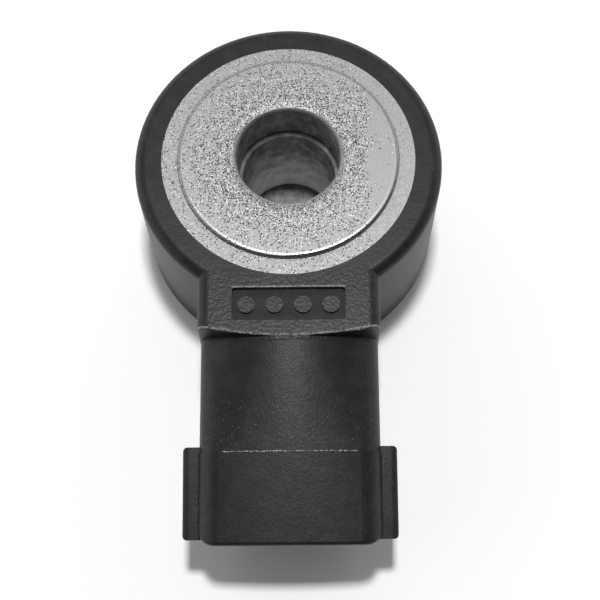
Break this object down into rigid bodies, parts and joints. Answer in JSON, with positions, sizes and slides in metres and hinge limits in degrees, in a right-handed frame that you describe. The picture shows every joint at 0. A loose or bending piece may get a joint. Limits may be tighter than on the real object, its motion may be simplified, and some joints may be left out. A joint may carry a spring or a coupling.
{
  "type": "engine knock sensor",
  "caption": "Ring type engine knock sensor: black moulded body round a flanged steel sleeve, with a leaning side connector that has recessed blades and side wings.",
  "frame": {"origin": "on the bolt bore's axis, in the plane of the raised contact face", "axes": "+Z out of the contact face along the bore, +Y away from the connector"},
  "size_m": [0.0274, 0.0475, 0.0141],
  "materials": {
    "moulded_body": "black glass filled polyamide, fine spark eroded grain",
    "turned_steel": "zinc plated turned steel, fine dark speckle",
    "mass_steel": "turned, plain",
    "spring_steel": "blued",
    "contact_brass": "stamped sheet",
    "tinned_blade": "tin plated brass",
    "tinned_wire": "tinned wire",
    "piezo_ceramic": "fired ceramic with silvered faces",
    "insulating_film": "amber film",
    "holder_plastic": "moulded",
    "resistor_body": "lacquered"
  },
  "bodies": {
    "root": {"housing": "moulded_body", "sleeve": "turned_steel", "flange_insulator": "insulating_film", "flange_contact": "contact_brass", "piezo_ring": "piezo_ceramic", "mass_contact": "contact_brass", "mass_insulator": "insulating_film", "insulating_tube": "insulating_film", "seismic_mass": "mass_steel", "disc_spring": "spring_steel", "ring_nut": "mass_steel", "signal_pin": "tinned_blade", "return_pin": "tinned_blade", "pin_holder": "holder_plastic", "shunt_resistor": "resistor_body", "resistor_leads": "tinned_wire"}
  },
  "joints": []
}
